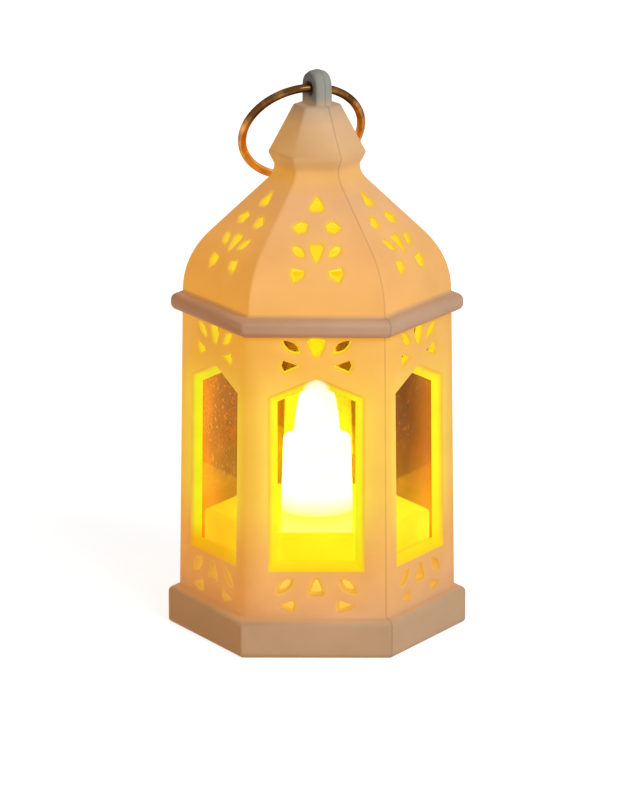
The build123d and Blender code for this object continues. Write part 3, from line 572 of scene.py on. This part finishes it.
mirror = add_node(
    tree, "ShaderNodeMath", {0: slant, 1: 0.7, 2: polish}, operation="MULTIPLY_ADD").outputs[0]
pane = add_node(tree, "ShaderNodeMixShader", {0: mirror, 1: pane.outputs[0], 2: gloss.outputs[0]})
add_node(tree, "ShaderNodeOutputMaterial", {"Surface": pane.outputs[0]})
for name in ("front", "front_right", "back_right", "back", "back_left", "front_left"):
    coat(nodes["window_pane_" + name], acetate)

# Hanging ring. Round steel wire, nickel-plated and a little tarnished, bent into a ring
# through the lug with its two ends butted together.
ring_radius, wire_radius = 0.01315, 0.0009
ring_centre = mathutils.Vector((-0.0033516, 0.0065019, 0.1082173))
ring_axis = mathutils.Vector((0.22191, -0.80654, -0.54795))
ring_far = ring_centre + mathutils.Vector((-0.25488, 0.49444, -0.83101)) * ring_radius
along = ring_axis.cross(ring_far - ring_centre)
bpy.ops.object.select_all(action="DESELECT")
bpy.ops.mesh.primitive_circle_add(
    vertices=24, radius=wire_radius, fill_type="NGON", location=ring_far,
    rotation=along.to_track_quat("Z", "Y").to_euler())
ring = bpy.context.active_object
ring.name = "ring_wire"
bpy.ops.object.transform_apply(location=True, rotation=True, scale=True)
bpy.ops.object.mode_set(mode="EDIT")
bpy.ops.mesh.select_all(action="SELECT")
bpy.ops.mesh.spin(steps=120, angle=math.radians(358.8), center=ring_centre, axis=ring_axis)
bpy.ops.mesh.select_all(action="SELECT")
bpy.ops.mesh.remove_doubles(threshold=0.000001)
bpy.ops.mesh.normals_make_consistent(inside=False)
bpy.ops.object.mode_set(mode="OBJECT")
bpy.ops.object.shade_smooth_by_angle(angle=math.radians(50))
# Tarnish in spots of about 4 mm, with painted shade darker towards the lug and a painted orange
# reflection lighter low down; the roof's light on the low side is painted on as a glow
nickel, tree = new_material("tarnished_nickel_wire")
place = add_node(tree, "ShaderNodeTexCoord").outputs["Object"]
z = add_node(tree, "ShaderNodeSeparateXYZ", {0: place}).outputs["Z"]
tarnish = add_node(tree, "ShaderNodeTexNoise", {
    "Vector": place, "Scale": 260.0, "Detail": 4.0}).outputs["Fac"]
tarnish_and_shade = add_node(tree, "ShaderNodeMapRange", {
    "Value": z, "From Min": 0.104, "From Max": 0.117, "To Min": 0.22, "To Max": -0.22}).outputs[0]
tarnish_and_shade = add_node(tree, "ShaderNodeMath", {0: tarnish, 1: tarnish_and_shade}, operation="ADD").outputs[0]
tone = add_node(tree, "ShaderNodeValToRGB", {0: tarnish_and_shade})
dull, bright = tone.color_ramp.elements
dull.position, dull.color = 0.3, linear("#54391F")
bright.position, bright.color = 0.75, linear("#D89C5C")
warmth = add_node(tree, "ShaderNodeMapRange", {
    "Value": z, "From Min": 0.096, "From Max": 0.112, "To Min": 0.5, "To Max": 0.03}).outputs[0]
rough = add_node(tree, "ShaderNodeMapRange", {
    "Value": tarnish, "To Min": 0.08, "To Max": 0.2}).outputs[0]
wire = add_node(tree, "ShaderNodeBsdfPrincipled", {
    "Base Color": tone.outputs["Color"], "Metallic": 1.0, "Roughness": rough,
    "Specular Tint": linear("#B07030"),
    "Emission Color": linear("#D88830"), "Emission Strength": warmth})
add_node(tree, "ShaderNodeOutputMaterial", {"Surface": wire.outputs[0]})
coat(ring, nickel)
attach(ring, "ring")
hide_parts("hanging_ring")

# Pedestal. A six-sided box of white ABS under the candle, glossy on top; the lamp inside it
# turns it bright yellow at the window and orange down by the skirt, painted on as a glow.
lit_box, tree = new_material("white_abs_lit_yellow")
place = add_node(tree, "ShaderNodeTexCoord").outputs["Object"]
axes = add_node(tree, "ShaderNodeSeparateXYZ", {0: place}).outputs
glow = height_ramp(tree, axes["Z"], [
    (4.86, "#583C10"), (9.72, "#A67E30"), (16.74, "#AE8438"), (19.98, "#B4FA48"),
    (27.0, "#B8FC52")])
clouds = add_node(tree, "ShaderNodeTexNoise", {
    "Vector": place, "Scale": 120.0, "Detail": 2.0}).outputs["Fac"]
depth = add_node(tree, "ShaderNodeMapRange", {
    "Value": clouds, "From Min": 0.3, "From Max": 0.7, "To Min": 0.92, "To Max": 1.05}).outputs[0]
light = add_node(
    tree, "ShaderNodeVectorMath", {0: glow, "Scale": depth}, operation="SCALE").outputs[0]
# Painted light: the lamp stands nearer the right, so the glow on the left side is more orange
left = add_node(tree, "ShaderNodeMapRange", {
    "Value": axes["X"], "From Min": -0.01, "From Max": -0.022}).outputs[0]
light = add_node(tree, "ShaderNodeMix", {
    0: left, 6: light, 7: (0.98, 0.55, 0.2, 1.0)},
    data_type="RGBA", blend_type="MULTIPLY").outputs[2]
box = add_node(tree, "ShaderNodeBsdfPrincipled", {
    "Base Color": linear("#C8A018"), "Roughness": 0.2, "IOR": 1.53, "Specular IOR Level": 0.3,
    "Emission Color": light, "Emission Strength": 2.4})
add_node(tree, "ShaderNodeOutputMaterial", {"Surface": box.outputs[0]})
coat(nodes["pedestal_housing"], lit_box)

# Candle. A hollow milky polypropylene shade, stepped like a candle with its flame, lit white
# by the lamp inside and yellower at its foot, where it comes out of the pedestal.
candle_low, candle_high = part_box("candle_diffuser")
foot_gap, foot_height, foot_radius = 0.0012, 0.002, 0.0078
foot_top = candle_low.z + foot_gap + foot_height
bpy.ops.object.select_all(action="DESELECT")
bpy.ops.mesh.primitive_cylinder_add(
    vertices=64, radius=foot_radius, depth=foot_height,
    location=(0, 0, foot_top - foot_height / 2))
candle = bpy.context.active_object
candle.name = "candle_shade"
bpy.ops.object.transform_apply(location=True, rotation=True, scale=True)
bpy.ops.object.mode_set(mode="EDIT")
bpy.ops.mesh.select_mode(type="FACE")
bpy.ops.mesh.select_all(action="DESELECT")
shade = bmesh.from_edit_mesh(candle.data)
for face in shade.faces:
    face.select_set(face.normal.z > 0.9)
bmesh.update_edit_mesh(candle.data)
# Steps up from the foot: the body to its shoulder, then the flame, as (rise, radius) in metres
flame = [(0.0, 0.0051), (0.0040, 0.00475), (0.0040, 0.0041), (0.0026, 0.0033), (0.0012, 0.0023),
         (0.0004, 0.0012)]
body_rise = candle_high.z - sum(rise for rise, radius in flame) - foot_top
wide = foot_radius
for rise, radius in [(body_rise, 0.0073)] + flame:
    bpy.ops.mesh.extrude_region_move(TRANSFORM_OT_translate={"value": (0, 0, rise)})
    bpy.ops.transform.resize(value=(radius / wide, radius / wide, 1.0))
    wide = radius
bpy.ops.object.mode_set(mode="OBJECT")
soft = candle.modifiers.new("soft_shoulder", "BEVEL")
soft.width = 0.0008
soft.segments = 4
soft.limit_method = "ANGLE"
soft.angle_limit = math.radians(50)
bpy.ops.object.modifier_apply(modifier="soft_shoulder")
bpy.ops.object.shade_smooth_by_angle(angle=math.radians(40))
milky, tree = new_material("milky_polypropylene_lit")
place = add_node(tree, "ShaderNodeTexCoord").outputs["Object"]
z = add_node(tree, "ShaderNodeSeparateXYZ", {0: place}).outputs["Z"]
glow = height_ramp(tree, z, [(25.84, "#DCDC78"), (27.37, "#DCDEBC"), (30.12, "#CCD6FF")])
swirl = add_node(tree, "ShaderNodeTexNoise", {
    "Vector": place, "Scale": 300.0, "Detail": 2.0}).outputs["Fac"]
power = add_node(tree, "ShaderNodeMapRange", {
    "Value": swirl, "To Min": 16.6, "To Max": 17.4}).outputs[0]
wax = add_node(tree, "ShaderNodeBsdfPrincipled", {
    "Base Color": linear("#F2EAD6"), "Roughness": 0.4, "IOR": 1.49,
    "Emission Color": glow, "Emission Strength": power})
add_node(tree, "ShaderNodeOutputMaterial", {"Surface": wax.outputs[0]})
coat(candle, milky)
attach(candle, "lantern")
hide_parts("candle_diffuser")

# Base plates. The bottom cover, the battery door and the lamp's holder are plain white ABS
# with a fine spark-eroded texture, screwed up into the shell and the pedestal.
eroded, tree = new_material("white_abs_spark_eroded")
place = add_node(tree, "ShaderNodeTexCoord").outputs["Object"]
grain = add_node(tree, "ShaderNodeTexNoise", {
    "Vector": place, "Scale": 1800.0, "Detail": 3.0}).outputs["Fac"]
clouds = add_node(tree, "ShaderNodeTexNoise", {
    "Vector": place, "Scale": 90.0, "Detail": 3.0}).outputs["Fac"]
tone = add_node(tree, "ShaderNodeMix", {
    0: clouds, 6: linear("#CFC6B6"), 7: linear("#E6DFD2")}, data_type="RGBA").outputs[2]
bump = add_node(tree, "ShaderNodeBump", {
    "Height": grain, "Strength": 0.15, "Distance": 0.0003}).outputs[0]
rough = add_node(tree, "ShaderNodeMapRange", {
    "Value": grain, "To Min": 0.45, "To Max": 0.7}).outputs[0]
plate = add_node(tree, "ShaderNodeBsdfPrincipled", {
    "Base Color": tone, "Roughness": rough, "IOR": 1.53, "Normal": bump})
add_node(tree, "ShaderNodeOutputMaterial", {"Surface": plate.outputs[0]})
for name in ("bottom_cover", "battery_door", "led_holder"):
    coat(nodes[name], eroded)

# Metalwork of the base: zinc-plated screws, tinned contact strips and leads, and the nickel
# cases of the button cells, all bright metal with fine handling marks.
for material_name, names, dark, pale, smooth in (
        ("zinc_plated_screws", ("base_screws", "door_screw", "board_screws"),
         "#77787A", "#A4A6A8", 0.3),
        ("tinned_brass_strip",
         ("positive_contact", "negative_contact", "led_leads", "switch_leads"),
         "#9A948A", "#C6C2BA", 0.28),
        ("nickel_plated_cells", ("cell_1", "cell_2", "cell_3"),
         "#9C9C9A", "#C4C4C2", 0.22)):
    plated, tree = new_material(material_name)
    place = add_node(tree, "ShaderNodeTexCoord").outputs["Object"]
    marks = add_node(tree, "ShaderNodeTexNoise", {
        "Vector": place, "Scale": 900.0, "Detail": 3.0}).outputs["Fac"]
    tone = add_node(tree, "ShaderNodeMix", {
        0: marks, 6: linear(dark), 7: linear(pale)}, data_type="RGBA").outputs[2]
    rough = add_node(tree, "ShaderNodeMapRange", {
        "Value": marks, "To Min": smooth - 0.08, "To Max": smooth + 0.14}).outputs[0]
    metal = add_node(tree, "ShaderNodeBsdfPrincipled", {
        "Base Color": tone, "Metallic": 1.0, "Roughness": rough})
    add_node(tree, "ShaderNodeOutputMaterial", {"Surface": metal.outputs[0]})
    for name in names:
        coat(nodes[name], plated)

# Board, chip, lamp and switch: green glass-epoxy with its weave, black ceramic, yellow epoxy
# resin round the lamp, and a black nylon slide switch that shows through the slot below.
for material_name, names, dark, pale, smooth, scale in (
        ("green_glass_epoxy", ("circuit_board",), "#1A5A2C", "#2A7440", 0.35, 1400.0),
        ("black_ceramic_chip", ("chip_resistor",), "#161616", "#262626", 0.5, 2000.0),
        ("yellow_epoxy_lamp", ("led_lamp",), "#E8D890", "#F6ECBC", 0.12, 500.0),
        ("black_nylon_switch", ("switch_body", "switch_slider"),
         "#141414", "#2A2A2A", 0.5, 1600.0)):
    moulded, tree = new_material(material_name)
    place = add_node(tree, "ShaderNodeTexCoord").outputs["Object"]
    fleck = add_node(tree, "ShaderNodeTexNoise", {
        "Vector": place, "Scale": scale, "Detail": 2.0}).outputs["Fac"]
    tone = add_node(tree, "ShaderNodeMix", {
        0: fleck, 6: linear(dark), 7: linear(pale)}, data_type="RGBA").outputs[2]
    rough = add_node(tree, "ShaderNodeMapRange", {
        "Value": fleck, "To Min": smooth - 0.06, "To Max": smooth + 0.12}).outputs[0]
    surface = add_node(tree, "ShaderNodeBsdfPrincipled", {
        "Base Color": tone, "Roughness": rough, "IOR": 1.52})
    add_node(tree, "ShaderNodeOutputMaterial", {"Surface": surface.outputs[0]})
    for name in names:
        coat(nodes[name], moulded)

# Studio. A pale table top that runs out of sight, white behind the lantern, one large soft
# lamp from the front right and an even grey sky for the rest.


def shown_white(tree):
    """1 for the rays that show the background: from the camera, through panes and mirrored."""
    path = add_node(tree, "ShaderNodeLightPath").outputs
    seen = path["Is Camera Ray"]
    for kind in ("Is Transmission Ray", "Is Glossy Ray"):
        seen = add_node(
            tree, "ShaderNodeMath", {0: seen, 1: path[kind]}, operation="MAXIMUM").outputs[0]
    return seen


bpy.ops.object.select_all(action="DESELECT")
bpy.ops.mesh.primitive_plane_add(size=6.0, location=(0, 0, 0))
floor = bpy.context.active_object
floor.name = "table_top"
table, tree = new_material("white_table_top")
place = add_node(tree, "ShaderNodeTexCoord").outputs["Object"]
# Painted shade: the table top's own glow is lower near the lantern, darkening the floor round its
# foot
away = add_node(tree, "ShaderNodeVectorMath", {0: place}, operation="LENGTH").outputs["Value"]
level = add_node(tree, "ShaderNodeMapRange", {
    "Value": away, "From Min": 0.04, "From Max": 0.3, "To Min": 0.82, "To Max": 0.98}).outputs[0]
level = add_node(
    tree, "ShaderNodeMath", {0: shown_white(tree), 1: level}, operation="MULTIPLY").outputs[0]
paint = add_node(tree, "ShaderNodeBsdfPrincipled", {
    "Base Color": (0.52, 0.52, 0.52, 1.0), "Roughness": 0.8,
    "Emission Color": (1, 1, 1, 1), "Emission Strength": level})
add_node(tree, "ShaderNodeOutputMaterial", {"Surface": paint.outputs[0]})
coat(floor, table)

sky = bpy.data.worlds.new("studio_sky")
sky.use_nodes = True
scene.world = sky
tree = sky.node_tree
tree.nodes.clear()
grey = add_node(tree, "ShaderNodeBackground", {"Color": (1.0, 0.98, 0.95, 1.0), "Strength": 0.12})
white = add_node(tree, "ShaderNodeBackground", {"Color": (1, 1, 1, 1), "Strength": 1.0})
both = add_node(tree, "ShaderNodeMixShader", {
    0: shown_white(tree), 1: grey.outputs[0], 2: white.outputs[0]})
add_node(tree, "ShaderNodeOutputWorld", {"Surface": both.outputs[0]})

lamp = bpy.data.lights.new("soft_lamp", "AREA")
lamp.size = 0.5
lamp.energy = 5.7
lamp_stand = bpy.data.objects.new("soft_lamp", lamp)
lamp_stand.location = (0.42, -0.62, 0.5)
lamp_stand.rotation_euler = (math.radians(60), 0, math.radians(34))
scene.collection.objects.link(lamp_stand)

# Camera. A long lens from 1.2 m, 14 degrees down, as the photograph was taken.
camera = bpy.data.cameras.new("photo_camera")
camera.lens = 248.84
camera.sensor_width = 36.0
camera.clip_end = 20.0
camera_stand = bpy.data.objects.new("photo_camera", camera)
camera_stand.location = (0.00559, -1.16369, 0.3407)
camera_stand.rotation_euler = (math.radians(90 - 14.012), 0, math.radians(0.313))
scene.collection.objects.link(camera_stand)
scene.camera = camera_stand
